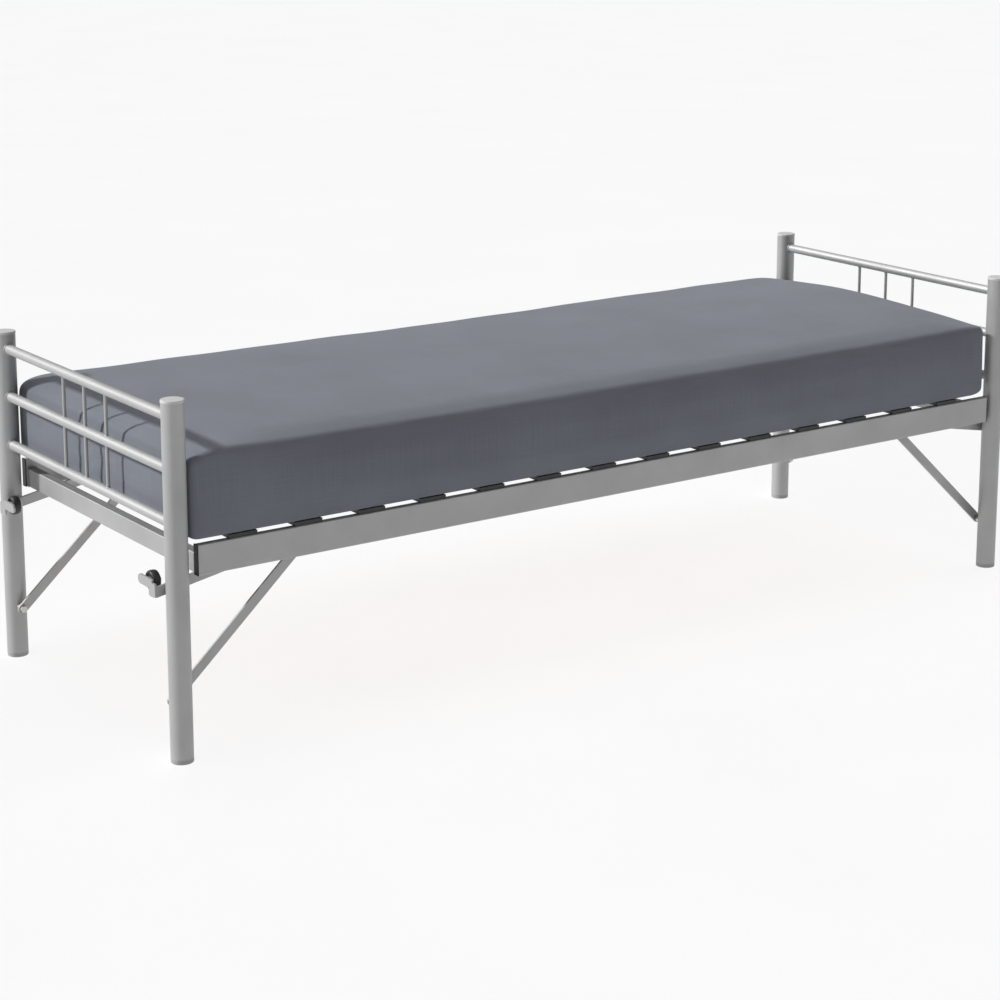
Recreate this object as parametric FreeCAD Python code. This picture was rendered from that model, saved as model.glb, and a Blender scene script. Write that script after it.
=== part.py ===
import FreeCAD, Part
import math
import os

from FreeCAD import Vector

# Folding steel bed, in millimetres. X runs along the bed from the foot end (-X) to the head end (+X),
# Y across it and Z up. The origin is on the floor under the middle of the bed.

# driving dimensions
postSpacingX = 2060.0
postSpacingY = 715.0
postRadius = 21.2
tubeWall = 1.5
totalHeight = 675.0
capFlange = 5.0
capRim = 0.5
glideFlange = 9.0
plugDepth = 22.0
plugEdge = 1.6

barRadius = 10.0
barHeights = {"top": 640.4, "middle": 543.4, "lower": 444.5}
rodRadius = 3.5
rodSpacing = 90.0

railBottom = 348.0
railHeight = 57.5
railThick = 15.0
railOuterY = 374.0
railEndGap = 33.0
plugFlange = 2.0
endRailHeight = 38.0
endRailThick = 20.0
endRailInset = 5.0
railEdge = 2.0

slatCount = 14
firstSlatX = 128.0
slatPitch = 136.4
slatWidth = 53.0
slatThick = 6.0
slatEdge = 1.5
slatEndY = 369.0
holderBase = 1.0
holderWall = 2.0
holderLip = 1.0
holderLength = 42.0
holderEdge = 0.8
slatClearance = 0.2

foldHeight = 325.0
armRise = 10.5
armHeight = 20.0
armThick = 5.0
armEdge = 1.0
armFaceY = 21.7
armOuterReach = 30.0
armInnerReach = 252.0
spacerReach = (205.0, 250.0)
spacerHeights = (363.0, 373.0)

foldPinRadius = 5.0
foldPinClearance = 0.06
foldHeadRadius = 9.0
foldHeadThick = 5.0
foldHeadEdge = 1.2
axialGap = 0.5

plateThick = 4.0
plateCorner = 4.0
plateDrop = 10.0
plateTall = 26.0
plateLow = 18.0
plateTallReach = 24.0
plateReach = 66.0
rollerInsetY = 57.0
rollerOutX = 19.0
rollerHeight = 332.0
rollerRadius = 19.0
rollerWidth = 16.0
rollerBoreRadius = 4.06
rollerEdge = 4.0
axleRadius = 4.0
axleHeadRadius = 7.0
axleHeadThick = 4.0
axleEnd = 6.0

braceWidth = 19.0
braceThick = 5.0
braceFaceY = 30.5
braceLowHeight = 106.0
braceTopReach = 267.0
braceTopHeight = 350.0
braceBoltRadius = 4.0
braceBoltClearance = 0.06
boltHeadWidth = 13.0
boltHeadThick = 4.5
bossRadius = 8.0
studRadius = 5.0
catchThick = 4.0
catchGap = 0.6
catchWall = 8.0
catchBottom = 347.5
catchTop = 390.0

mattressLength = 1998.0
mattressWidth = 748.0
mattressThick = 162.0
mattressRadius = 22.0
softClearance = 0.4

# not sizes of the bed: how far a cutting solid overshoots, and how near counts as touching
overshoot = 1.0
tiny = 1e-6

# places worked out from them
postX = postSpacingX / 2
postY = postSpacingY / 2
railTop = railBottom + railHeight
railHalfLength = postX - railEndGap
railInnerY = railOuterY - railThick
slatBottom = railTop + holderBase
holderTop = slatBottom + slatThick + holderLip
mattressBottom = holderTop + softClearance
armOuterY = postY - armFaceY
armInnerY = armOuterY - armThick
braceOuterY = postY - braceFaceY
braceInnerY = braceOuterY - braceThick

ends = {"foot": -1, "head": 1}
sides = {"near": -1, "far": 1}


def save(shape, node):
    shape.exportStep("parts/" + node + ".step")
    print(node, "solids", len(shape.Solids), "volume", round(shape.Volume / 1000.0, 2), "cm3")


def group(solids):
    return Part.makeCompound(solids)


def box(x, y, z):
    """A box between two limits along each axis."""
    low = [min(pair) for pair in (x, y, z)]
    high = [max(pair) for pair in (x, y, z)]
    size = [b - a for a, b in zip(low, high)]
    return Part.makeBox(size[0], size[1], size[2], Vector(low[0], low[1], low[2]))


def rodAlong(axis, radius, start, length):
    return Part.makeCylinder(radius, length, Vector(*start), Vector(*axis))


def mirrorEnd(shape, end):
    """Shapes are drawn for the head end and mirrored to the foot end."""
    return shape if ends[end] > 0 else shape.mirror(Vector(0, 0, 0), Vector(1, 0, 0))


def mirrorSide(shape, side):
    """Shapes are drawn for the far side and mirrored to the near side."""
    return shape if sides[side] > 0 else shape.mirror(Vector(0, 0, 0), Vector(0, 1, 0))


def place(shape, end, side):
    return mirrorSide(mirrorEnd(shape, end), side)


def prism(points, direction):
    """A straight prism on a closed outline."""
    wire = Part.makePolygon([Vector(*p) for p in points + points[:1]])
    return Part.Face(wire).extrude(Vector(*direction))


def roundedBox(x, y, z, radius, edgeTest=None):
    solid = box(x, y, z)
    edges = [e for e in solid.Edges if edgeTest is None or edgeTest(e)]
    return solid.makeFillet(radius, edges)


def runsAlong(index):
    """Picks the edges of a box that run along one axis."""
    def test(edge):
        step = edge.Vertexes[1].Point - edge.Vertexes[0].Point
        others = [abs(step[i]) for i in range(3) if i != index]
        return max(others) < tiny
    return test


# end frames: two posts, three cross bars, six thin rods
def post():
    height = totalHeight - glideFlange - capFlange
    outer = rodAlong((0, 0, 1), postRadius, (postX, postY, glideFlange), height)
    inner = rodAlong((0, 0, 1), postRadius - tubeWall, (postX, postY, 0), totalHeight)
    return outer.cut(inner)


def tubePlug(z, flange, rimWidth, upward):
    """A flat cap or glide: a flange on the post's end and a plug inside the tube."""
    disc = rodAlong((0, 0, 1), postRadius + rimWidth, (postX, postY, z), flange)
    outerFace = z if upward else z + flange
    rim = [e for e in disc.Edges if e.BoundBox.ZLength < tiny and abs(e.BoundBox.ZMin - outerFace) < tiny]
    disc = disc.makeFillet(plugEdge, rim)
    plugStart = z + flange if upward else z - plugDepth
    plug = rodAlong((0, 0, 1), postRadius - tubeWall, (postX, postY, plugStart), plugDepth)
    return disc.fuse(plug).removeSplitter()


def crossBar(z):
    bar = rodAlong((0, 1, 0), barRadius, (postX, -postY, z), postSpacingY)
    for y in (-postY, postY):
        bar = bar.cut(rodAlong((0, 0, 1), postRadius, (postX, y, 0), totalHeight))
    return bar


def endRods():
    rods = []
    levels = [barHeights["lower"], barHeights["middle"], barHeights["top"]]
    for low, high in zip(levels[:-1], levels[1:]):
        for step in (-1, 0, 1):
            rod = rodAlong((0, 0, 1), rodRadius, (postX, step * rodSpacing, low), high - low)
            for z in (low, high):
                rod = rod.cut(rodAlong((0, 1, 0), barRadius, (postX, -postY, z), postSpacingY))
            rods.append(rod)
    return group(rods)


def foldPin():
    """A stud welded to the post's inner side, with the head that keeps the arm on it."""
    shank = rodAlong((0, -1, 0), foldPinRadius, (postX, postY, foldHeight), postY - armInnerY + axialGap)
    headY = armInnerY - axialGap
    head = rodAlong((0, -1, 0), foldHeadRadius, (postX, headY, foldHeight), foldHeadThick)
    outerFace = headY - foldHeadThick
    head = head.makeFillet(foldHeadEdge, [e for e in head.Edges if abs(e.BoundBox.YMin - outerFace) < tiny])
    pin = shank.fuse(head).removeSplitter()
    return pin.cut(rodAlong((0, 0, 1), postRadius, (postX, postY, 0), totalHeight))


def hexHead(x, y, z, acrossFlats, thick):
    """A six-sided head whose axis is along Y."""
    corner = acrossFlats / math.sqrt(3.0)
    points = []
    for k in range(6):
        angle = math.radians(60 * k)
        points.append((x + corner * math.cos(angle), y, z + corner * math.sin(angle)))
    return prism(points, (0, -thick, 0))


def braceBolt():
    """A round boss on the post, the bolt through the brace and its hexagon head."""
    start = (postX, postY, braceLowHeight)
    boss = rodAlong((0, -1, 0), bossRadius, start, braceFaceY - axialGap)
    shank = rodAlong((0, -1, 0), braceBoltRadius, start, braceFaceY + braceThick + axialGap)
    head = hexHead(postX, braceInnerY - axialGap, braceLowHeight, boltHeadWidth, boltHeadThick)
    bolt = boss.fuse(shank).fuse(head).removeSplitter()
    return bolt.cut(rodAlong((0, 0, 1), postRadius, (postX, postY, 0), totalHeight))


# braces: a flat bar from a bolt low on the post to a catch on the side rail
def brace():
    span = (braceTopReach, braceTopHeight - braceLowHeight)
    length = math.hypot(*span)
    half = braceWidth / 2
    bar = box((0, length), (braceInnerY, braceOuterY), (-half, half))
    for u in (0, length):
        bar = bar.fuse(rodAlong((0, -1, 0), half, (u, braceOuterY, 0), braceThick))
    bar = bar.cut(rodAlong((0, -1, 0), braceBoltRadius + braceBoltClearance, (0, postY, 0), postY))
    studLength = railInnerY - axialGap - braceInnerY
    bar = bar.fuse(rodAlong((0, 1, 0), studRadius, (length, braceInnerY, 0), studLength)).removeSplitter()
    # drawn lying towards +X, then leant up and moved to the bolt, and turned to lean towards -X
    bar.rotate(Vector(0, 0, 0), Vector(0, 1, 0), -math.degrees(math.atan2(span[1], span[0])))
    bar = bar.mirror(Vector(0, 0, 0), Vector(1, 0, 0))
    bar.translate(Vector(postX, 0, braceLowHeight))
    return bar


def braceCatch():
    """A plate on the rail's inner side with a pocket, open below and inwards, for the brace's stud."""
    studX = postX - braceTopReach
    pocket = studRadius + catchGap
    outerX = studX + pocket + catchWall
    innerX = studX - pocket - catchWall
    plate = box((innerX, outerX), (railInnerY - catchThick, railInnerY), (catchBottom, catchTop))
    opening = box((innerX - overshoot, studX + pocket), (railInnerY - catchThick - overshoot, railOuterY),
                  (0, braceTopHeight + pocket))
    return plate.cut(opening)


# arms: a flat bar past the post, held off the side rail by a block, with a plate for the roller
def arm():
    half = armHeight / 2
    bar = roundedBox((-armInnerReach, armOuterReach + half), (armInnerY, armOuterY), (-half, half), armEdge,
                     runsAlong(0))
    bar.rotate(Vector(0, 0, 0), Vector(0, 1, 0), armRise)
    bar.translate(Vector(postX, 0, foldHeight))
    beyondPlate = box((postX + armOuterReach, postX + 2 * armOuterReach), (0, postY), (0, totalHeight))
    hole = rodAlong((0, -1, 0), foldPinRadius + foldPinClearance, (postX, postY, foldHeight), postY)
    return bar.cut(beyondPlate).cut(hole)


def armSpacer():
    """The block that holds the arm off the side rail, above the folded post."""
    return box((postX - spacerReach[1], postX - spacerReach[0]), (armOuterY, railInnerY), spacerHeights)


def rollerPlate():
    """A plate across the arm's outer end: tall beside the arm, lower out to the axle."""
    x = postX + armOuterReach
    middle = rollerHeight - plateDrop
    tall = (middle - plateTall / 2, middle + plateTall / 2)
    low = (rollerHeight - plateLow / 2, rollerHeight + plateLow / 2)
    startY = armOuterY
    thick = (x, x + plateThick)
    root = roundedBox(thick, (startY - plateTallReach, startY), tall, plateCorner, runsAlong(0))
    tongue = box(thick, (startY - plateReach + plateLow / 2, startY - plateTallReach / 2), low)
    tipY = startY - plateReach + plateLow / 2
    tip = rodAlong((1, 0, 0), plateLow / 2, (x, tipY, rollerHeight), plateThick)
    return root.fuse(tongue).fuse(tip).removeSplitter()


def rollerAxle():
    plateX = postX + armOuterReach
    y = postY - rollerInsetY
    inner = postX + rollerOutX - rollerWidth / 2 - axialGap
    shank = rodAlong((1, 0, 0), axleRadius, (inner - axleEnd, y, rollerHeight), plateX - inner + axleEnd)
    nut = rodAlong((1, 0, 0), axleHeadRadius, (inner - axleHeadThick, y, rollerHeight), axleHeadThick)
    return shank.fuse(nut).removeSplitter()


def roller():
    y = postY - rollerInsetY
    start = postX + rollerOutX - rollerWidth / 2
    wheel = rodAlong((1, 0, 0), rollerRadius, (start, y, rollerHeight), rollerWidth)
    wheel = wheel.makeFillet(rollerEdge, [e for e in wheel.Edges if e.BoundBox.XLength < tiny])
    return wheel.cut(rodAlong((1, 0, 0), rollerBoreRadius, (start - overshoot, y, rollerHeight),
                              rollerWidth + 2 * overshoot))


# the lying frame: two side rails, two end rails, slats in their holders
def sideRail():
    half = railHalfLength - plugFlange
    z = (railBottom, railTop)
    outer = roundedBox((-half, half), (railInnerY, railOuterY), z, railEdge, runsAlong(0))
    inner = box((-half - overshoot, half + overshoot), (railInnerY + tubeWall, railOuterY - tubeWall),
                (railBottom + tubeWall, railTop - tubeWall))
    return outer.cut(inner)


def railPlug():
    half = railHalfLength - plugFlange
    flange = box((half, railHalfLength), (railInnerY, railOuterY), (railBottom, railTop))
    body = box((half - plugDepth, half), (railInnerY + tubeWall, railOuterY - tubeWall),
               (railBottom + tubeWall, railTop - tubeWall))
    return flange.fuse(body).removeSplitter()


def endRail():
    outerX = railHalfLength - endRailInset
    x = (outerX - endRailThick, outerX)
    z = (railBottom, railBottom + endRailHeight)
    outer = roundedBox(x, (-railInnerY, railInnerY), z, railEdge, runsAlong(1))
    inner = box((x[0] + tubeWall, x[1] - tubeWall), (-railInnerY - overshoot, railInnerY + overshoot),
                (z[0] + tubeWall, z[1] - tubeWall))
    return outer.cut(inner)


def slatX(index):
    return -postX + firstSlatX + index * slatPitch


def slat(index):
    x = slatX(index)
    half = slatWidth / 2
    z = (slatBottom, slatBottom + slatThick)
    return roundedBox((x - half, x + half), (-slatEndY, slatEndY), z, slatEdge, runsAlong(1))


def slatHolder(index):
    x = slatX(index)
    half = slatWidth / 2 + slatClearance
    outerHalf = half + holderWall
    outerY = slatEndY + slatClearance + holderWall
    shell = roundedBox((x - outerHalf, x + outerHalf), (outerY - holderLength, outerY), (railTop, holderTop),
                       holderEdge, lambda edge: edge.BoundBox.ZMin > holderTop - tiny)
    pocket = box((x - half, x + half), (0, slatEndY + slatClearance), (slatBottom, slatBottom + slatThick))
    return shell.cut(pocket)


def mattress():
    """The mattress pushed up to the foot posts."""
    start = -postX + postRadius + softClearance
    half = mattressWidth / 2
    return roundedBox((start, start + mattressLength), (-half, half),
                      (mattressBottom, mattressBottom + mattressThick), mattressRadius)


os.makedirs("parts", exist_ok=True)

for side in sides:
    save(mirrorSide(sideRail(), side), side + "_side_rail")
    save(group([mirrorSide(slatHolder(i), side) for i in range(slatCount)]), side + "_slat_holders")
save(group([place(railPlug(), end, side) for end in ends for side in sides]), "rail_end_plugs")
for i in range(slatCount):
    save(slat(i), "slat_%02d" % (i + 1))

for end in ends:
    save(mirrorEnd(endRail(), end), end + "_end_rail")
    for side in sides:
        name = end + "_" + side
        save(place(arm(), end, side), name + "_arm")
        save(place(post(), end, side), name + "_post")
        save(place(brace(), end, side), name + "_brace")
        save(place(roller(), end, side), name + "_roller")
    save(group([place(braceCatch(), end, side) for side in sides]), end + "_brace_catches")
    for level, height in barHeights.items():
        save(mirrorEnd(crossBar(height), end), end + "_" + level + "_bar")
    save(mirrorEnd(endRods(), end), end + "_rods")
    caps = [place(tubePlug(totalHeight - capFlange, capFlange, capRim, False), end, side) for side in sides]
    glides = [place(tubePlug(0, glideFlange, 0, True), end, side) for side in sides]
    save(group(caps), end + "_post_caps")
    save(group(glides), end + "_glides")
    save(group([place(foldPin(), end, side) for side in sides]), end + "_fold_pins")
    save(group([place(braceBolt(), end, side) for side in sides]), end + "_brace_bolts")

corners = [(end, side) for end in ends for side in sides]
save(group([place(armSpacer(), end, side) for end, side in corners]), "arm_spacers")
save(group([place(rollerPlate(), end, side) for end, side in corners]), "roller_plates")
save(group([place(rollerAxle(), end, side) for end, side in corners]), "roller_axles")
save(mattress(), "mattress")
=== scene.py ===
import math

import bpy
import numpy as np
from mathutils import Matrix, Vector


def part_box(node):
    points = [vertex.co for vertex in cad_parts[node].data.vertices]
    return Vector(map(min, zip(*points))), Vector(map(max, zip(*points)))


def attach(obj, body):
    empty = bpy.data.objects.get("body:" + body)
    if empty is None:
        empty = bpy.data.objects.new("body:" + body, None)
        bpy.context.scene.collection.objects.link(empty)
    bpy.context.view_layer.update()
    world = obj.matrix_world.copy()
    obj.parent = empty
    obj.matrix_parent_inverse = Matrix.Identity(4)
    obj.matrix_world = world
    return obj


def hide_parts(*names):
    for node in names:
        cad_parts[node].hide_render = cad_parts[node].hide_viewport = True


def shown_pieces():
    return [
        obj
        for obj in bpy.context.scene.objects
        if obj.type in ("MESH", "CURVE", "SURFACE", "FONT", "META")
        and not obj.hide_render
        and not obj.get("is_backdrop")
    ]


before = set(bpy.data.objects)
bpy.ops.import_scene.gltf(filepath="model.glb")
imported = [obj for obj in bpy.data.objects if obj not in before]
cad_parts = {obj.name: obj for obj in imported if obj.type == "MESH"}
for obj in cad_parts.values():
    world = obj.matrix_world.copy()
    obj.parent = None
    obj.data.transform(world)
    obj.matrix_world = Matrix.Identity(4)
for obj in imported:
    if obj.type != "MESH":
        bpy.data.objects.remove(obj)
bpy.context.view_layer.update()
mm = 0.001
ends = {"foot": -1, "head": 1}  # which way each end frame stands along X
sides = {"near": -1, "far": 1}  # and each long side along Y


def ramp(start, stop, count):
    # a run of values with no repeat of the last one, so that runs can be joined end to end
    return np.linspace(start, stop, count, endpoint=False)


def faceGrid(count, around, loop):
    # quads from each ring to the next; an open surface also gets a fan of triangles at each end,
    # to the two middle points that stand after its rings
    i, j = np.meshgrid(np.arange(count if loop else count - 1), np.arange(around), indexing="ij")
    nextI, nextJ = (i + 1) % count, (j + 1) % around
    quads = np.stack([i * around + j, nextI * around + j, nextI * around + nextJ, i * around + nextJ], -1)
    quads = quads.reshape(-1, 4)
    if loop:
        return quads, np.zeros((0, 3), int)
    j = np.arange(around)
    k = (j + 1) % around
    last, middle = (count - 1) * around, np.full(around, count * around)
    startFan = np.stack([j, k, middle], -1)
    endFan = np.stack([last + k, last + j, middle + 1], -1)
    return quads, np.vstack([startFan, endFan])


def closedSurface(rings, loop=False):
    # rings[i, j] is point j of ring i; every ring is closed, and in a loop the last joins the first.
    # Six times the volume is a sum over triangles of corner A dotted with (B crossed with C)
    points = rings.reshape(-1, 3)
    if not loop:
        points = np.vstack([points, rings[0].mean(0), rings[-1].mean(0)])
    quads, triangles = faceGrid(*rings.shape[:2], loop)
    corners = np.vstack([quads[:, :3], quads[:, [0, 2, 3]], triangles])
    a, b, c = points[corners].transpose(1, 0, 2)
    if (a * np.cross(b, c)).sum() < 0:  # the faces point inwards
        quads, triangles = quads[:, [0, 3, 2, 1]], triangles[:, [0, 2, 1]]
    return points, quads, triangles


def stacked(surfaces):
    # several surfaces as one, each one's faces counted on from the points before it
    starts = np.cumsum([0] + [len(points) for points, quads, triangles in surfaces])
    return (np.vstack([points for points, quads, triangles in surfaces]),
            np.vstack([quads + start for (points, quads, triangles), start in zip(surfaces, starts)]),
            np.vstack([triangles + start for (points, quads, triangles), start in zip(surfaces, starts)]))


def newPiece(name, surface):
    points, quads, triangles = surface
    mesh = bpy.data.meshes.new(name)
    mesh.from_pydata(points, [], quads.tolist() + triangles.tolist())
    mesh.shade_smooth()
    piece = bpy.data.objects.new(name, mesh)
    bpy.context.scene.collection.objects.link(piece)
    return piece


def pointsOf(mesh):
    points = np.zeros(len(mesh.vertices) * 3)
    mesh.vertices.foreach_get("co", points)
    return points.reshape(-1, 3)


def newMaterial(name):
    material = bpy.data.materials.new(name)
    material.use_nodes = True
    nodes, links = material.node_tree.nodes, material.node_tree.links
    return material, nodes, links, nodes["Principled BSDF"]


def setShader(shader, values):
    for name, value in values.items():
        shader.inputs[name].default_value = value


def mapped(nodes, links, scale=(1, 1, 1), source="Object"):
    # the surface's own coordinates, in metres, through one Mapping node
    place = nodes.new("ShaderNodeTexCoord")
    mapping = nodes.new("ShaderNodeMapping")
    mapping.inputs["Scale"].default_value = scale
    links.new(place.outputs[source], mapping.inputs["Vector"])
    return mapping.outputs["Vector"]


def noiseAt(nodes, links, vector, scale, detail=3.0, rough=0.55):
    noise = nodes.new("ShaderNodeTexNoise")
    noise.inputs["Scale"].default_value = scale
    noise.inputs["Detail"].default_value = detail
    noise.inputs["Roughness"].default_value = rough
    links.new(vector, noise.inputs["Vector"])
    return noise.outputs["Fac"]


waveLength = math.pi / 10  # of a Wave Texture whose scale is 1


def bandsAt(nodes, links, vector, direction, pitch, waver, detail):
    wave = nodes.new("ShaderNodeTexWave")
    wave.bands_direction = direction
    wave.inputs["Scale"].default_value = waveLength / pitch
    wave.inputs["Distortion"].default_value = waver
    wave.inputs["Detail"].default_value = detail
    links.new(vector, wave.inputs["Vector"])
    return wave.outputs["Fac"]


def colourBetween(nodes, links, factor, low, high, start=0.3, stop=0.7):
    ramps = nodes.new("ShaderNodeValToRGB")
    ramps.color_ramp.elements[0].position, ramps.color_ramp.elements[1].position = start, stop
    ramps.color_ramp.elements[0].color, ramps.color_ramp.elements[1].color = (*low, 1), (*high, 1)
    links.new(factor, ramps.inputs["Fac"])
    return ramps.outputs["Color"]


def rangeOf(nodes, links, factor, low, high, start=0.3, stop=0.7):
    limits = nodes.new("ShaderNodeMapRange")
    limits.inputs["From Min"].default_value, limits.inputs["From Max"].default_value = start, stop
    limits.inputs["To Min"].default_value, limits.inputs["To Max"].default_value = low, high
    links.new(factor, limits.inputs["Value"])
    return limits.outputs["Result"]


def sumOf(nodes, links, first, second):
    both = nodes.new("ShaderNodeMath")
    both.operation = "ADD"
    links.new(first, both.inputs[0])
    links.new(second, both.inputs[1])
    return both.outputs[0]


def mixOf(nodes, links, factor, base, colour, blend):
    mix = nodes.new("ShaderNodeMix")
    mix.data_type = "RGBA"
    mix.blend_type = blend
    links.new(factor, mix.inputs["Factor"])
    links.new(base, mix.inputs["A"])
    mix.inputs["B"].default_value = (*colour, 1)
    return mix.outputs["Result"]


def bumpFrom(nodes, links, height, distance, strength, under=None):
    bump = nodes.new("ShaderNodeBump")
    bump.inputs["Distance"].default_value = distance
    bump.inputs["Strength"].default_value = strength
    links.new(height, bump.inputs["Height"])
    if under is not None:
        links.new(under, bump.inputs["Normal"])
    return bump.outputs["Normal"]


def grey(value):
    return (value, value, value)


powderCoat = {
    "light": grey(0.435), "dark": grey(0.385), "toneRange": (0.42, 0.82),
    "cloudScale": 7.0, "fleckScale": 900.0, "fleckShare": 0.25,
    "rubbedScale": 16.0, "roughness": (0.50, 0.62),
    "peelLength": 2.8 * mm, "peelDepth": 0.12 * mm, "peelStrength": 0.5,
    "shader": {"Metallic": 0.55, "Coat Weight": 0.06, "Coat Roughness": 0.35},
}


def powderCoatFinish():
    # satin silver powder coat with metal flake: orange peel a few millimetres across,
    # faint cloudiness, and a few duller rubbed patches
    p = powderCoat
    material, nodes, links, shader = newMaterial("satin powder coat")
    at = mapped(nodes, links)
    cloud = noiseAt(nodes, links, at, p["cloudScale"], 4.0)
    fleck = noiseAt(nodes, links, at, p["fleckScale"], 2.0)
    tone = nodes.new("ShaderNodeMath")
    tone.operation = "MULTIPLY_ADD"
    tone.inputs[1].default_value = p["fleckShare"]
    links.new(fleck, tone.inputs[0])
    links.new(cloud, tone.inputs[2])
    links.new(colourBetween(nodes, links, tone.outputs[0], p["dark"], p["light"], *p["toneRange"]),
              shader.inputs["Base Color"])
    rubbed = noiseAt(nodes, links, at, p["rubbedScale"], 5.0, 0.65)
    links.new(rangeOf(nodes, links, rubbed, *p["roughness"]), shader.inputs["Roughness"])
    peel = noiseAt(nodes, links, at, 1 / p["peelLength"], 1.5)
    links.new(bumpFrom(nodes, links, peel, p["peelDepth"], p["peelStrength"]), shader.inputs["Normal"])
    setShader(shader, p["shader"])
    return material


plastic = {
    "flowStretch": (1, 1, 0.35), "flowScale": 60.0,
    "scuffScale": 150.0, "scuffLess": 0.08, "scuffMore": 0.1,
    "grainLength": 0.6 * mm, "grainDepth": 0.04 * mm, "grainStrength": 0.6,
    "shader": {"Specular IOR Level": 0.42},
}


def mouldedPlasticFinish(name, light, dark, roughness):
    # moulded plastic: spark-eroded grain, faint flow marks, and scuffs that dull it
    p = plastic
    material, nodes, links, shader = newMaterial(name)
    at = mapped(nodes, links)
    flow = noiseAt(nodes, links, mapped(nodes, links, p["flowStretch"]), p["flowScale"], 3.0)
    links.new(colourBetween(nodes, links, flow, dark, light), shader.inputs["Base Color"])
    scuff = noiseAt(nodes, links, at, p["scuffScale"], 4.0, 0.7)
    links.new(rangeOf(nodes, links, scuff, roughness - p["scuffLess"], roughness + p["scuffMore"]),
              shader.inputs["Roughness"])
    sparks = noiseAt(nodes, links, at, 1 / p["grainLength"], 1.0)
    links.new(bumpFrom(nodes, links, sparks, p["grainDepth"], p["grainStrength"]), shader.inputs["Normal"])
    setShader(shader, p["shader"])
    return material


rubber = {
    "light": grey(0.030), "dark": grey(0.012), "bloomScale": 45.0, "roughness": (0.38, 0.62),
    "pitScale": 2200.0, "pitDepth": 0.05 * mm, "pitStrength": 0.7,
}


def rubberFinish():
    # black rubber: matt, with a greyer bloom and fine pitting
    r = rubber
    material, nodes, links, shader = newMaterial("roller rubber")
    at = mapped(nodes, links)
    bloom = noiseAt(nodes, links, at, r["bloomScale"], 5.0, 0.6)
    links.new(colourBetween(nodes, links, bloom, r["dark"], r["light"]), shader.inputs["Base Color"])
    links.new(rangeOf(nodes, links, bloom, *r["roughness"]), shader.inputs["Roughness"])
    pits = noiseAt(nodes, links, at, r["pitScale"], 1.0)
    links.new(bumpFrom(nodes, links, pits, r["pitDepth"], r["pitStrength"]), shader.inputs["Normal"])
    return material


zinc = {
    "light": (0.62, 0.62, 0.61), "dark": (0.47, 0.46, 0.43), "spangleScale": 240.0,
    "roughness": (0.26, 0.44), "turnedScale": 1800.0, "turnedDepth": 0.03 * mm, "turnedStrength": 0.5,
    "shader": {"Metallic": 0.9},
}


def zincFinish():
    # zinc plating: bright grey with cloudy spangle and a faint yellow passivate
    z = zinc
    material, nodes, links, shader = newMaterial("zinc plating")
    at = mapped(nodes, links)
    spangle = noiseAt(nodes, links, at, z["spangleScale"], 4.0, 0.6)
    links.new(colourBetween(nodes, links, spangle, z["dark"], z["light"]), shader.inputs["Base Color"])
    links.new(rangeOf(nodes, links, spangle, *z["roughness"]), shader.inputs["Roughness"])
    turned = noiseAt(nodes, links, at, z["turnedScale"], 1.0)
    links.new(bumpFrom(nodes, links, turned, z["turnedDepth"], z["turnedStrength"]),
              shader.inputs["Normal"])
    setShader(shader, z["shader"])
    return material


beech = {
    "pale": (0.56, 0.40, 0.245), "warm": (0.43, 0.285, 0.155), "fleck": (0.30, 0.175, 0.085),
    "grainStretch": (1, 0.045, 1), "grainScale": 260.0, "grainRange": (0.35, 0.65),
    "rayStretch": (1, 0.12, 1), "rayScale": 900.0, "rayRange": (0.62, 0.74), "rayShare": 0.55,
    "glue": (0.45, 0.33, 0.22), "gluePitch": 9.42 * mm, "glueWaver": 0.4,
    "glueRange": (0.0, 0.18), "glueShare": 0.45,
    "roughness": (0.36, 0.5), "grainDepth": 0.1 * mm, "grainStrength": 0.5,
    "shader": {"Coat Weight": 0.25, "Coat Roughness": 0.3},
}


def beechFinish():
    # layered beech: grain drawn out along the slat's length (Y), short dark ray flecks,
    # and a glue line on the edges
    b = beech
    material, nodes, links, shader = newMaterial("layered beech")
    grain = noiseAt(nodes, links, mapped(nodes, links, b["grainStretch"]), b["grainScale"], 4.0, 0.6)
    wood = colourBetween(nodes, links, grain, b["warm"], b["pale"], *b["grainRange"])
    rays = noiseAt(nodes, links, mapped(nodes, links, b["rayStretch"]), b["rayScale"], 1.0)
    rayPart = rangeOf(nodes, links, rays, 0.0, b["rayShare"], *b["rayRange"])
    flecked = mixOf(nodes, links, rayPart, wood, b["fleck"], "MIX")
    plies = bandsAt(nodes, links, mapped(nodes, links), "Z", b["gluePitch"], b["glueWaver"], 2.0)
    gluePart = rangeOf(nodes, links, plies, b["glueShare"], 0.0, *b["glueRange"])
    links.new(mixOf(nodes, links, gluePart, flecked, b["glue"], "MULTIPLY"), shader.inputs["Base Color"])
    links.new(rangeOf(nodes, links, grain, *b["roughness"]), shader.inputs["Roughness"])
    links.new(bumpFrom(nodes, links, grain, b["grainDepth"], b["grainStrength"]), shader.inputs["Normal"])
    setShader(shader, b["shader"])
    return material


cover = {
    "light": (0.192, 0.205, 0.236), "dark": (0.155, 0.167, 0.193), "toneRange": (1.15, 1.85),
    "cloudScale": 5.0,
    "threadPitch": 1.1 * mm, "threadDepth": 0.22 * mm, "threadStrength": 0.6, "threadWaver": 0.6,
    # painted shade: the cover's colour is darkened between the threads, where the weave dips
    "paintedShade": (0.55, 0.56, 0.58), "paintedShadeRange": (0.2, 1.3), "paintedShadeShare": 0.35,  # between the threads
    "slubStretch": ((9, 620, 1), (620, 9, 1)), "slubDepth": 0.4 * mm, "slubStrength": 0.35,
    "shader": {"Roughness": 0.9, "Specular IOR Level": 0.2, "Sheen Weight": 0.12,
               "Sheen Roughness": 0.45},
}


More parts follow.
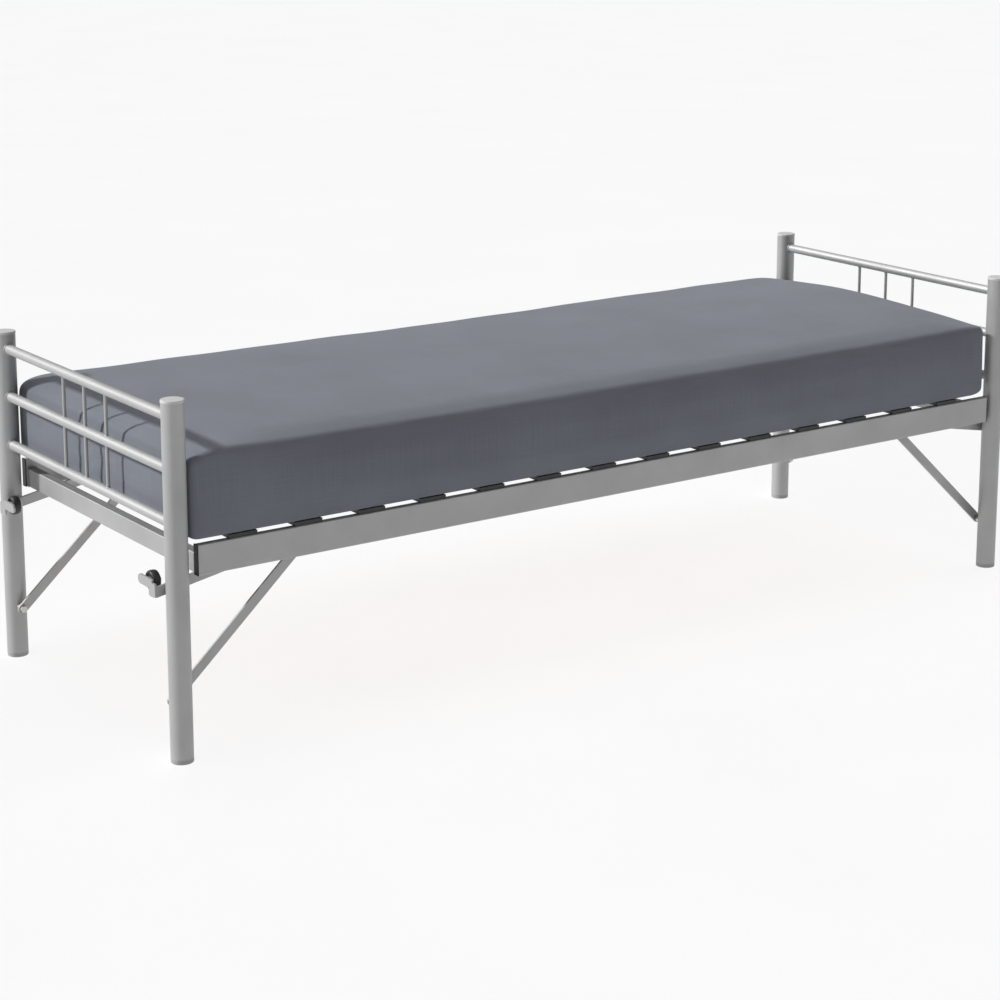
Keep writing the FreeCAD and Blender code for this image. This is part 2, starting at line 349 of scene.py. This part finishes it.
def coverFinish():
    # fine plain weave: two waves a thread apart at right angles, added together, with slubs
    # drawn out along both thread directions, a slow cloudiness of the dye, and painted shade between the
    # threads
    c = cover
    material, nodes, links, shader = newMaterial("woven cover")
    cloth = mapped(nodes, links, source="UV")
    threads = [bandsAt(nodes, links, cloth, direction, c["threadPitch"], c["threadWaver"], 1.0)
               for direction in ("X", "Y")]
    weave = sumOf(nodes, links, *threads)
    slubs = [noiseAt(nodes, links, mapped(nodes, links, stretch, "UV"), 1.0, 3.0, 0.6)
             for stretch in c["slubStretch"]]
    slub = sumOf(nodes, links, *slubs)
    cloud = noiseAt(nodes, links, mapped(nodes, links), c["cloudScale"], 4.0)
    tone = rangeOf(nodes, links, sumOf(nodes, links, slub, cloud), 0, 1, *c["toneRange"])
    dyed = colourBetween(nodes, links, tone, c["dark"], c["light"], 0.0, 1.0)
    # painted shade: where the weave dips between the threads, the colour is multiplied darker
    paintedShadePart = rangeOf(nodes, links, weave, c["paintedShadeShare"], 0.0, *c["paintedShadeRange"])
    links.new(mixOf(nodes, links, paintedShadePart, dyed, c["paintedShade"], "MULTIPLY"), shader.inputs["Base Color"])
    slubBump = bumpFrom(nodes, links, slub, c["slubDepth"], c["slubStrength"])
    links.new(bumpFrom(nodes, links, weave, c["threadDepth"], c["threadStrength"], slubBump),
              shader.inputs["Normal"])
    setShader(shader, c["shader"])
    return material


finishes = {
    "powder_coat": powderCoatFinish(),
    "cap_plastic": mouldedPlasticFinish("grey cap plastic", grey(0.55), grey(0.49), 0.42),
    "glide_plastic": mouldedPlasticFinish("grey glide plastic", grey(0.36), grey(0.30), 0.5),
    "black_plastic": mouldedPlasticFinish("black plug plastic", grey(0.012), grey(0.008), 0.52),
    "dark_plastic": mouldedPlasticFinish("dark clip plastic", grey(0.045), grey(0.030), 0.48),
    "beech_slat": beechFinish(),
    "roller_rubber": rubberFinish(),
    "zinc_steel": zincFinish(),
    "mattress_cover": coverFinish(),
}


def finishWith(piece, slotName):
    piece.data.materials.clear()
    piece.data.materials.append(finishes[slotName])


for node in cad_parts.values():
    finishWith(node, node.data.materials[0].name)
print("finishes on", len(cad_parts), "CAD nodes")


mattress = {
    "topRadius": 13 * mm, "underRadius": 5 * mm,  # along the long edges
    # how far each end rounds over along X, and how far the top drops there
    "footRound": (70 * mm, 22 * mm),
    "headRound": (46 * mm, 8 * mm),  # the head end is fuller
    "nearRound": (16 * mm, 11 * mm), "farRound": (42 * mm, 18 * mm),  # the same for the upright corners
    "footUnder": (14 * mm, 6 * mm), "headUnder": (38 * mm, 17 * mm),  # and for the underside
    "dip": 5 * mm, "dipAt": 200 * mm,  # the top lies lower in the middle of its length
    "crown": (7 * mm, 27 * mm),  # and higher in the middle of its width, at the foot and at the head
    "endCrown": 0.4,  # the share of that crown which is left at the very end
    "spacing": 15 * mm, "cornerSteps": 5, "bendSteps": 13, "capSteps": 9, "capCentre": 0.06,
    "slack": 3 * mm,  # the shape starts this much smaller, because the cover swells
    "pressure": 0.12, "frames": 20, "quality": 5,
    "cap": 8 * mm, "least": 1e-6 * mm,  # limits of how far a point moves
    "pinned": 4 * mm,  # what lies this near the underside stays on the slats
    "unevenness": 0.8 * mm, "unevenFrom": 30 * mm,  # in full from this high above the slats
    # waves of the unevenness: how fast each turns along X, Y and Z, and where it begins
    "waves": (((9.1, 3.7, 5.0), 0.4), ((-5.3, 11.9, 8.0), 2.1), ((17.0, -8.3, 21.0), 3.9),
              ((4.1, 23.0, -14.0), 5.2), ((31.0, 9.0, 11.0), 1.3)),
}


def dropOf(fromEnd, reach, depth):
    # how far a quarter ellipse of that reach and depth has fallen, this far from the end
    share = np.clip(1 - fromEnd / reach, 0, 1)
    return depth * (1 - np.sqrt(1 - share * share))


def mattressStations(length):
    # places along the mattress, measured from its foot: close together where the ends round over
    reach = mattress["footRound"][0]
    bend = reach * (1 - np.cos(np.linspace(0, math.pi / 2, mattress["bendSteps"])))
    straight = length - 2 * reach
    middle = reach + ramp(0, straight, round(straight / mattress["spacing"]))[1:]
    return np.concatenate([bend, middle, (length - bend)[::-1]])


def mattressSection(width, height):
    # samples round a rounded rectangle, each as its place between the corners, from -1 to 1,
    # and its direction from the middle of the nearest corner's arc
    across, upright = round(width / mattress["spacing"]), round(height / mattress["spacing"])
    steps = mattress["cornerSteps"]
    corners = [((1, -1), (0, 1), upright), ((1, 1), (-1, 0), across),
               ((-1, 1), (0, -1), upright), ((-1, -1), (1, 0), across)]
    places, directions = [], []
    for number, (sign, move, count) in enumerate(corners):
        angle = math.pi / 2 * (number - 1) + ramp(0, math.pi / 2, steps)
        last = math.pi / 2 * number
        places += [np.tile(np.array(sign, float), (steps, 1)), sign + ramp(0, 2, count)[:, None] * move]
        directions += [np.stack([np.cos(angle), np.sin(angle)], -1),
                       np.tile([math.cos(last), math.sin(last)], (count, 1))]
    return np.concatenate(places), np.concatenate(directions)


def mattressRings(low, high):
    # each station's section is a rounded rectangle, whose top, underside and width follow quarter
    # ellipses near the ends; past the end stations the ring shrinks on the end face to its middle
    m = mattress
    low, high = np.array(low) + (m["slack"], m["slack"], 0), np.array(high) - m["slack"]
    fromFoot = mattressStations(high[0] - low[0])
    fromHead = high[0] - low[0] - fromFoot
    fromEnd = np.minimum(fromFoot, fromHead)
    x = low[0] + fromFoot
    top = high[2] - dropOf(fromFoot, *m["footRound"]) - dropOf(fromHead, *m["headRound"])
    top += m["dip"] * (((x - m["dipAt"]) / high[0]) ** 2 - 1)
    under = low[2] + dropOf(fromFoot, *m["footUnder"]) + dropOf(fromHead, *m["headUnder"])
    near, far = low[1] + dropOf(fromEnd, *m["nearRound"]), high[1] - dropOf(fromEnd, *m["farRound"])
    middle, half = (near + far)[:, None] / 2, (far - near)[:, None] / 2
    places, directions = mattressSection(high[1] - low[1], high[2] - low[2])
    r = np.where(places[:, 1] > 0, m["topRadius"], m["underRadius"])
    y = places[:, 0] * (half - r) + directions[:, 0] * r
    level, tall = ((top + under) / 2)[:, None], ((top - under) / 2)[:, None]
    z = level + places[:, 1] * (tall - r) + directions[:, 1] * r
    ridge = 1 - (y / half) ** 2
    crown = np.interp(fromFoot, (0, fromFoot[-1]), m["crown"])
    crown *= np.clip(fromEnd / m["footRound"][0], m["endCrown"], 1)
    z += crown[:, None] * ridge * np.clip(places[:, 1], 0, 1)
    rings = np.stack([np.repeat(x[:, None], len(places), 1), middle + y, z], -1)
    shrink = np.linspace(1, m["capCentre"], m["capSteps"] + 1)[1:, None, None]
    foot, head = rings[0].mean(0), rings[-1].mean(0)
    footCap, headCap = foot + shrink * (rings[0] - foot), head + shrink * (rings[-1] - head)
    return np.concatenate([footCap[::-1], rings, headCap])


def swellCover(piece, slatTop):
    # the cover is blown up a little like a cushion, held where it lies on the slats,
    # and no point moves further than the cap
    m, scene = mattress, bpy.context.scene
    start = pointsOf(piece.data)
    held = np.flatnonzero(start[:, 2] < slatTop + m["pinned"]).tolist()
    piece.vertex_groups.new(name="on the slats").add(held, 1.0, "REPLACE")
    cloth = piece.modifiers.new("swell", "CLOTH")
    cloth.settings.quality = m["quality"]
    cloth.settings.use_pressure = True
    cloth.settings.uniform_pressure_force = m["pressure"]
    cloth.settings.effector_weights.gravity = 0
    cloth.settings.vertex_group_mass = "on the slats"
    cloth.point_cache.frame_start, cloth.point_cache.frame_end = 1, m["frames"]
    for number in range(1, m["frames"] + 1):
        scene.frame_set(number)
    swollen = piece.evaluated_get(bpy.context.evaluated_depsgraph_get())
    move = pointsOf(swollen.data) - start
    far = np.linalg.norm(move, axis=1)
    print("cover swells", [round(v / mm, 1) for v in np.percentile(far, (50, 90, 100))], "mm before the cap")
    move *= np.minimum(1, m["cap"] / np.maximum(far, m["least"]))[:, None]
    piece.modifiers.remove(cloth)
    piece.data.vertices.foreach_set("co", (start + move).ravel())
    scene.frame_set(1)


def unevenCover(piece, slatTop):
    # slow hollows and swellings along the surface's own normals: a sum of sines of different
    # lengths, directions and starts, fading out at the underside
    m = mattress
    points = pointsOf(piece.data)
    normals = np.zeros(len(points) * 3)
    piece.data.vertex_normals.foreach_get("vector", normals)
    height = sum(np.sin(points @ np.array(way) + begin) for way, begin in m["waves"])
    height /= len(m["waves"]) ** 0.5
    free = np.clip((points[:, 2] - slatTop) / m["unevenFrom"], 0, 1)
    points += normals.reshape(-1, 3) * (m["unevenness"] * height * free)[:, None]
    piece.data.vertices.foreach_set("co", points.ravel())


def weaveMap(piece):
    # the cloth's own map in metres: each face takes the two directions that it lies along most
    mesh = piece.data
    facing = np.zeros(len(mesh.polygons) * 3)
    mesh.polygons.foreach_get("normal", facing)
    sizes = np.zeros(len(mesh.polygons), np.int32)
    mesh.polygons.foreach_get("loop_total", sizes)
    most = np.repeat(np.abs(facing.reshape(-1, 3)).argmax(1), sizes)
    corners = np.zeros(len(mesh.loops), np.int32)
    mesh.loops.foreach_get("vertex_index", corners)
    places = pointsOf(mesh)[corners]
    pairs = np.array([(1, 2), (0, 2), (0, 1)])[most]
    layer = mesh.uv_layers.new(name="weave")
    layer.data.foreach_set("uv", np.take_along_axis(places, pairs, 1).ravel())


def makeMattress():
    low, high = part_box("mattress")
    piece = newPiece("mattress_cover", closedSurface(mattressRings(low, high)))
    swellCover(piece, low[2])
    unevenCover(piece, low[2])
    weaveMap(piece)
    smoother = piece.modifiers.new("smoother", "SUBSURF")
    smoother.levels = smoother.render_levels = 1
    finishWith(piece, "mattress_cover")
    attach(piece, "mattress_pad")
    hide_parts("mattress")
    print("mattress:", len(piece.data.polygons), "faces before smoothing")


makeMattress()


roller = {
    "around": 72, "bore": 4.06 * mm, "boreEdge": 0.4 * mm,
    "wellInner": 7.5 * mm, "wellOuter": 13.5 * mm, "wellDepth": 1.8 * mm,  # a ring-shaped hollow
    "wellLip": 0.3 * mm, "wellSlope": 0.5 * mm, "wellFloor": 1.2 * mm,  # lip, slope, start of its floor
    "shoulder": 3.2 * mm, "shoulderSteps": 6, "treadCrown": 0.6 * mm, "treadSteps": 7,
}


def rollerSection(radius, half):
    # one turn round the wheel's cut section, as (along the axle, out from it): bore, hub face,
    # a well in each side, rounded shoulders, and a tread that falls with the square of the
    # distance from its middle
    r = roller
    inner, outer, floor = r["wellInner"], r["wellOuter"], half - r["wellDepth"]
    lip, slope, flat = r["wellLip"], r["wellSlope"], r["wellFloor"]
    side = np.array([(half, r["bore"]), (half, r["bore"] + r["boreEdge"]), (half, inner - lip),
                     (half - lip, inner), (floor, inner + slope), (floor, inner + flat),
                     (floor, outer - flat), (floor, outer - slope), (half - lip, outer),
                     (half, outer + lip)])
    arc = np.linspace(0, math.pi / 2, r["shoulderSteps"])
    bend = np.stack([half - r["shoulder"] * (1 - np.cos(arc)),
                     radius - r["treadCrown"] - r["shoulder"] * (1 - np.sin(arc))], -1)
    across = np.linspace(-1, 1, r["treadSteps"])
    tread = np.stack([-across * (half - r["shoulder"]), radius - r["treadCrown"] * across ** 2], -1)[1:-1]
    right = np.concatenate([side, bend])
    return np.concatenate([right, tread, right[::-1] * (-1, 1)])


def makeRoller(end, side):
    # the section turned about the axle: y = r cos t, z = r sin t
    node = f"{end}_{side}_roller"
    low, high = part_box(node)
    centre, half = (low + high) / 2, (high[0] - low[0]) / 2
    along, out = rollerSection((high[2] - low[2]) / 2, half).T
    turn = ramp(0, 2 * math.pi, roller["around"])[:, None]
    rings = np.stack([centre[0] + along + 0 * turn, centre[1] + out * np.cos(turn),
                      centre[2] + out * np.sin(turn)], -1)
    piece = newPiece(node + "_tyre", closedSurface(rings, loop=True))
    finishWith(piece, "roller_rubber")
    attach(piece, f"{end}_{side}_wheel")
    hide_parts(node)


for end in ends:
    for side in sides:
        makeRoller(end, side)
print("rollers")


weld = {
    "bar": 2.2 * mm, "rod": 1.1 * mm, "rail": 1.4 * mm, "plate": 1.8 * mm,  # radius of each bead
    "barSteps": 40, "rodSteps": 24, "railSteps": 96, "plateSteps": 20, "around": 8,
    "ripple": 3.2 * mm, "rodRipple": 1.6 * mm, "rippleDepth": 0.14, "fewestRipples": 4,
    "railCorner": 1.6 * mm, "railSquare": 4,
    "plateHeights": (311 * mm, 328 * mm),
}


def beadAlong(path, outward, radius, ripple, loop=True):
    # a round bead on a path: each ring is a circle of the bead's radius in the plane of the
    # outward direction and the side direction, and the radius swells and shrinks like weld ripples
    along = np.roll(path, -1, 0) - np.roll(path, 1, 0)
    if not loop:
        along[0], along[-1] = path[1] - path[0], path[-1] - path[-2]
    step = np.linalg.norm(np.roll(path, -1, 0) - path, axis=1)
    along /= np.linalg.norm(along, axis=1)[:, None]
    across = np.cross(along, outward)
    across /= np.linalg.norm(across, axis=1)[:, None]
    up = np.cross(across, along)
    travelled = np.cumsum(step) - step
    ripples = max(weld["fewestRipples"], round(travelled[-1] / ripple))
    phase = 2 * math.pi * ripples * travelled / (travelled[-1] + step.min())
    swell = radius * (1 + weld["rippleDepth"] * np.sin(phase))
    turn = ramp(0, 2 * math.pi, weld["around"])[None, :, None]
    spread = np.cos(turn) * up[:, None] + np.sin(turn) * across[:, None]
    return closedSurface(path[:, None] + swell[:, None, None] * spread, loop)


def roundBarWeld(postAxis, postRadius, barNode, towards):
    # where a level bar meets an upright post: a circle of the bar's radius, pushed out onto the post
    low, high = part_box(barNode)
    barRadius = (high[2] - low[2]) / 2
    t = ramp(0, 2 * math.pi, weld["barSteps"])
    x, z = barRadius * np.cos(t), barRadius * np.sin(t)
    y = postAxis[1] - towards * np.sqrt(postRadius ** 2 - x ** 2)
    path = np.stack([postAxis[0] + x, y, (low[2] + high[2]) / 2 + z], -1)
    outward = np.stack([np.cos(t), 0 * t, np.sin(t)], -1)
    return beadAlong(path, outward, weld["bar"], weld["ripple"])


def rodWeld(x, y, rodRadius, barNode, up):
    # where a thin upright rod meets a level bar: the same, pushed out onto the bar
    low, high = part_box(barNode)
    barRadius, middle = (high[2] - low[2]) / 2, (low[2] + high[2]) / 2
    t = ramp(0, 2 * math.pi, weld["rodSteps"])
    dx, dy = rodRadius * np.cos(t), rodRadius * np.sin(t)
    path = np.stack([x + dx, y + dy, middle + up * np.sqrt(barRadius ** 2 - dx ** 2)], -1)
    outward = np.stack([np.cos(t), np.sin(t), 0 * t], -1)
    return beadAlong(path, outward, weld["rod"], weld["rodRipple"])


def railWeld(low, high, y):
    # round a rail's end, in (x, z): a circle of the corner's radius, whose quarters are pushed
    # apart to the rectangle's corners
    corner = weld["railCorner"]
    centre, half = (low + high) / 2, (high - low) / 2 - corner
    t = ramp(0, 2 * math.pi, weld["railSteps"])
    way = np.stack([np.cos(t), np.sin(t)], -1)
    apart = np.clip(way * (half * weld["railSquare"] / half.min()), -1, 1) * half
    x, z = (centre + apart + corner * way).T
    path = np.stack([x, np.full(len(t), y), z], -1)
    outward = np.stack([way[:, 0], 0 * t, way[:, 1]], -1)
    return beadAlong(path, outward, weld["rail"], weld["ripple"])


def plateWeld(x, y, outward):
    # upright, in the corner between an arm and its plate
    z = np.linspace(*weld["plateHeights"], weld["plateSteps"])[:, None]
    path = np.hstack([0 * z + x, 0 * z + y, z])
    return beadAlong(path, np.tile(outward, (len(z), 1)), weld["plate"], weld["ripple"], loop=False)


def makeEndWelds(end):
    beads = []
    low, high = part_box(f"{end}_rods")
    rodRadius = (high[0] - low[0]) / 2
    reach, rodX = high[1] - rodRadius, (low[0] + high[0]) / 2
    for side, towards in sides.items():
        low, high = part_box(f"{end}_{side}_post")
        for bar in ("top", "middle", "lower"):
            beads.append(roundBarWeld((low + high) / 2, (high[0] - low[0]) / 2, f"{end}_{bar}_bar", towards))
    for y in (-reach, 0, reach):
        for bar, ups in (("top", (-1,)), ("middle", (1, -1)), ("lower", (1,))):
            beads += [rodWeld(rodX, y, rodRadius, f"{end}_{bar}_bar", up) for up in ups]
    return newPiece(f"{end}_end_welds", stacked(beads))


def makeBaseWelds():
    beads = []
    for end, way in ends.items():
        low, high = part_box(f"{end}_end_rail")
        beads += [railWeld(np.array(low.xz), np.array(high.xz), y) for y in (low[1], high[1])]
        for side, towards in sides.items():
            low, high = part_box(f"{end}_{side}_arm")
            inner = low[1] if towards > 0 else high[1]
            tip = low[0] if way < 0 else high[0]
            beads.append(plateWeld(tip, inner, (-way, -towards, 0.0)))
    return newPiece("base_frame_welds", stacked(beads))


for body, piece in (("foot_end", makeEndWelds("foot")), ("head_end", makeEndWelds("head")),
                    ("base_frame", makeBaseWelds())):
    finishWith(piece, "powder_coat")
    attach(piece, body)
print("welds")


studio = {
    "lens": 88.2, "sensor": 36, "shift": (-0.065, -0.161),
    "place": (-2.957, -4.135, 1.676), "turn": 36.38, "down": 12.0, "roll": 0.32,
    "floorLight": (0.86, 0.86, 0.865), "floorDark": (0.8471, 0.8471, 0.852025), "floorCloud": 1.5,
    "floorHalf": 40.0, "floorShader": {"Roughness": 0.85, "Specular IOR Level": 0.1},
    # each lamp: the way its light travels, its strength and how wide it is
    "key": ((1.0, -0.70, -0.78), 3.4, 5.5),
    "overhead": ((0.15, -0.3, -1), 1.3, 60.0),
    "wash": ((0, 0, -1), 2.9, 60.0),
    "sky": 0.5, "skySides": ((0.0, 0.85), (0.42, 0.16), (0.6, 0.18), (1.0, 1.0)),  # from -X round to +X
}


def makeSun(name, way, strength, angle):
    light = bpy.data.lights.new(name, "SUN")
    light.energy, light.angle = strength, math.radians(angle)
    lamp = bpy.data.objects.new(name, light)
    lamp.rotation_mode = "QUATERNION"
    lamp.rotation_quaternion = Vector(way).to_track_quat("-Z", "Y")
    bpy.context.scene.collection.objects.link(lamp)
    return lamp


def floorFinish():
    material, nodes, links, shader = newMaterial("studio floor")
    cloud = noiseAt(nodes, links, mapped(nodes, links), studio["floorCloud"])
    links.new(colourBetween(nodes, links, cloud, studio["floorDark"], studio["floorLight"]),
              shader.inputs["Base Color"])
    setShader(shader, studio["floorShader"])
    return material


def makeFloor():
    half = studio["floorHalf"]
    mesh = bpy.data.meshes.new("studio_floor")
    mesh.from_pydata([(-half, -half, 0), (half, -half, 0), (half, half, 0), (-half, half, 0)], [],
                     [(0, 1, 2, 3)])
    mesh.materials.append(floorFinish())
    floor = bpy.data.objects.new("studio_floor", mesh)
    bpy.context.scene.collection.objects.link(floor)
    floor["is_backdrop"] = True
    return floor


def makeLamps(floor):
    # the floor has a lamp of its own, so that it stays evenly pale under the bed;
    # the key light and the soft light from above reach only the bed
    floorOnly, bedOnly = bpy.data.collections.new("floor only"), bpy.data.collections.new("bed only")
    floorOnly.objects.link(floor)
    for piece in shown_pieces():
        bedOnly.objects.link(piece)
    for name in ("key", "overhead"):
        makeSun(name, *studio[name]).light_linking.receiver_collection = bedOnly
    wash = makeSun("floor wash", *studio["wash"])
    wash.light_linking.receiver_collection = wash.light_linking.blocker_collection = floorOnly


def studioWorld():
    # bright on both sides, dim before and behind
    world = bpy.data.worlds.new("studio")
    world.use_nodes = True
    nodes, links = world.node_tree.nodes, world.node_tree.links
    place, split, ramps = (nodes.new("ShaderNode" + kind)
                           for kind in ("TexCoord", "SeparateXYZ", "ValToRGB"))
    links.new(place.outputs["Generated"], split.inputs["Vector"])
    links.new(rangeOf(nodes, links, split.outputs["X"], 0, 1, -1, 1), ramps.inputs["Fac"])
    stops = ramps.color_ramp.elements
    stops.remove(stops[-1])
    for number, (position, value) in enumerate(studio["skySides"]):
        stop = stops.new(position) if number else stops[0]
        stop.position, stop.color = position, (*grey(value), 1)
    links.new(ramps.outputs["Color"], nodes["Background"].inputs["Color"])
    nodes["Background"].inputs["Strength"].default_value = studio["sky"]
    return world


def makeCamera():
    s = studio
    camera = bpy.data.cameras.new("camera")
    camera.lens, camera.sensor_width = s["lens"], s["sensor"]
    camera.shift_x, camera.shift_y = s["shift"]
    view = bpy.data.objects.new("camera", camera)
    turn, tilt, roll = (Matrix.Rotation(math.radians(angle), 4, axis)
                        for angle, axis in ((-s["turn"], "Z"), (90 - s["down"], "X"), (s["roll"], "Z")))
    view.matrix_world = Matrix.Translation(s["place"]) @ turn @ tilt @ roll
    bpy.context.scene.collection.objects.link(view)
    return view


makeLamps(makeFloor())
scene = bpy.context.scene
scene.world = studioWorld()
scene.view_settings.view_transform = "Standard"
scene.camera = makeCamera()
print("studio")
